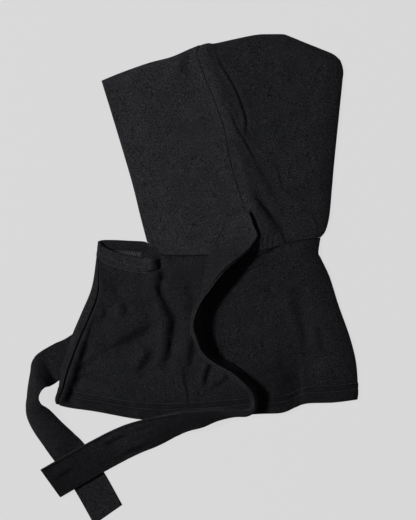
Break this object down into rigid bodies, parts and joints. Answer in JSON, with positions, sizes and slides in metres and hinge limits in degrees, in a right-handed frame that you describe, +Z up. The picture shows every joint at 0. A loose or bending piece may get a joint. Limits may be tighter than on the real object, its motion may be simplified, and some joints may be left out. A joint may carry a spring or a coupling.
{
  "type": "hijab underscarf cap",
  "caption": "Jersey hood with a short neck cape and two ties, worn under a headscarf, lying flat on its right side.",
  "frame": {"origin": "on the table, under the middle of the cap's box as it lies", "axes": "+Z up from the table, towards the wearer's left side; +Y from hem to crown; -X towards the face"},
  "size_m": [0.365, 0.539, 0.041],
  "materials": {
    "jersey": "matte black cotton and viscose knit, with a soft sheen"
  },
  "bodies": {
    "root": {"front_panel": "jersey", "back_panel_left": "jersey", "back_panel_right": "jersey", "cape": "jersey", "tie_left": "jersey", "tie_right": "jersey"}
  },
  "joints": []
}
